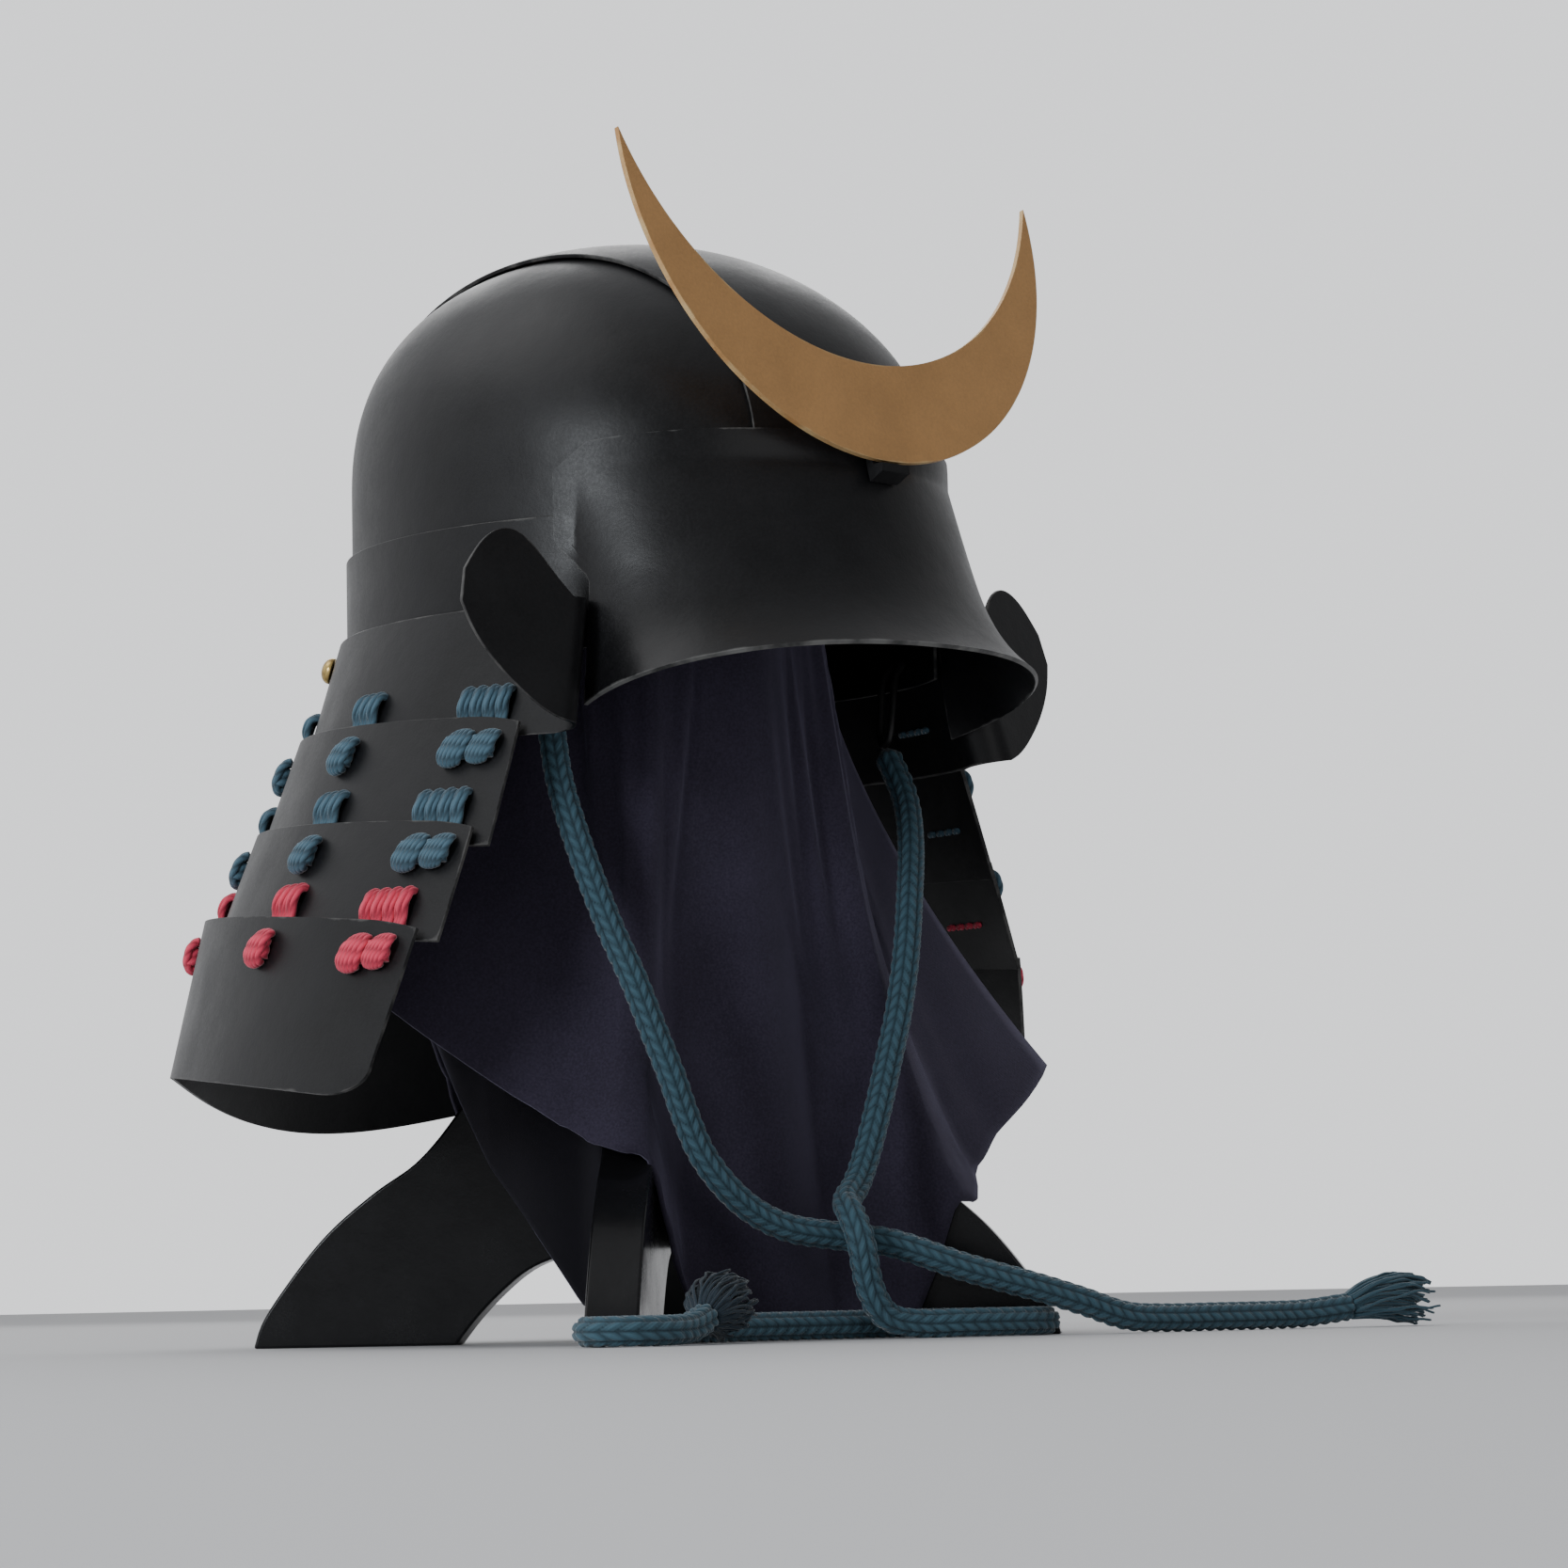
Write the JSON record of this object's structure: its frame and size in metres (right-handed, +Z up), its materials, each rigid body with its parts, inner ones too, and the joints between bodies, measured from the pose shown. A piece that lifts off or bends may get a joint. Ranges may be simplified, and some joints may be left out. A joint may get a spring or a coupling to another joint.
{
  "type": "kabuto helmet on stand",
  "caption": "Black lacquered samurai helmet with a crescent crest and laced neck guard, set over a cloth on a plain crossed-plank stand, with its chin cord laid out in front.",
  "frame": {"origin": "on the floor under the middle of everything but the chin cord's box", "axes": "+Z up, the helmet's brow faces -Y, the wearer's left is +X"},
  "size_m": [0.4155, 0.3739, 0.4251],
  "materials": {
    "black_lacquer": "satin black lacquer on sheet iron",
    "rivet_brass": "dulled brass",
    "blue_lace": "flat silk braid, slate blue",
    "red_lace": "flat silk braid, crimson",
    "bronze_gold": "matte bronze-gold lacquer",
    "navy_cloth": "fine plain weave, dark navy",
    "stand_black": "gloss black lacquered wood",
    "loop_wire": "blackened wire",
    "teal_cord": "round silk braid, teal blue"
  },
  "bodies": {
    "root": {"bowl_side_plate_right": "black_lacquer", "bowl_side_plate_left": "black_lacquer", "bowl_top_plate": "black_lacquer", "brow_plate": "black_lacquer", "rivet_right": "rivet_brass", "rivet_left": "rivet_brass", "rivet_back": "rivet_brass", "waist_band": "black_lacquer", "neck_lame_1": "black_lacquer", "neck_lame_2": "black_lacquer", "neck_lame_3": "black_lacquer", "neck_lame_4": "black_lacquer", "lace_1_front_right": "blue_lace", "lace_1_front_left": "blue_lace", "lace_1_side_right": "blue_lace", "lace_1_side_left": "blue_lace", "lace_1_rear_right": "blue_lace", "lace_1_rear_left": "blue_lace", "lace_1_back": "blue_lace", "lace_2_front_right": "blue_lace", "lace_2_front_left": "blue_lace", "lace_2_side_right": "blue_lace", "lace_2_side_left": "blue_lace", "lace_2_rear_right": "blue_lace", "lace_2_rear_left": "blue_lace", "lace_2_back": "blue_lace", "lace_3_front_right": "red_lace", "lace_3_front_left": "red_lace", "lace_3_side_right": "red_lace", "lace_3_side_left": "red_lace", "lace_3_rear_right": "red_lace", "lace_3_rear_left": "red_lace", "lace_3_back": "red_lace", "crescent": "bronze_gold", "crescent_hook": "black_lacquer", "stand_plank_a": "stand_black", "stand_plank_b": "stand_black", "stand_post": "stand_black", "stand_head": "stand_black", "stand_cloth": "navy_cloth", "cord_loop_right": "loop_wire", "cord_loop_left": "loop_wire", "cord_right": "teal_cord", "cord_left": "teal_cord", "cord_fray_right": "teal_cord", "cord_fray_left": "teal_cord"}
  },
  "joints": []
}
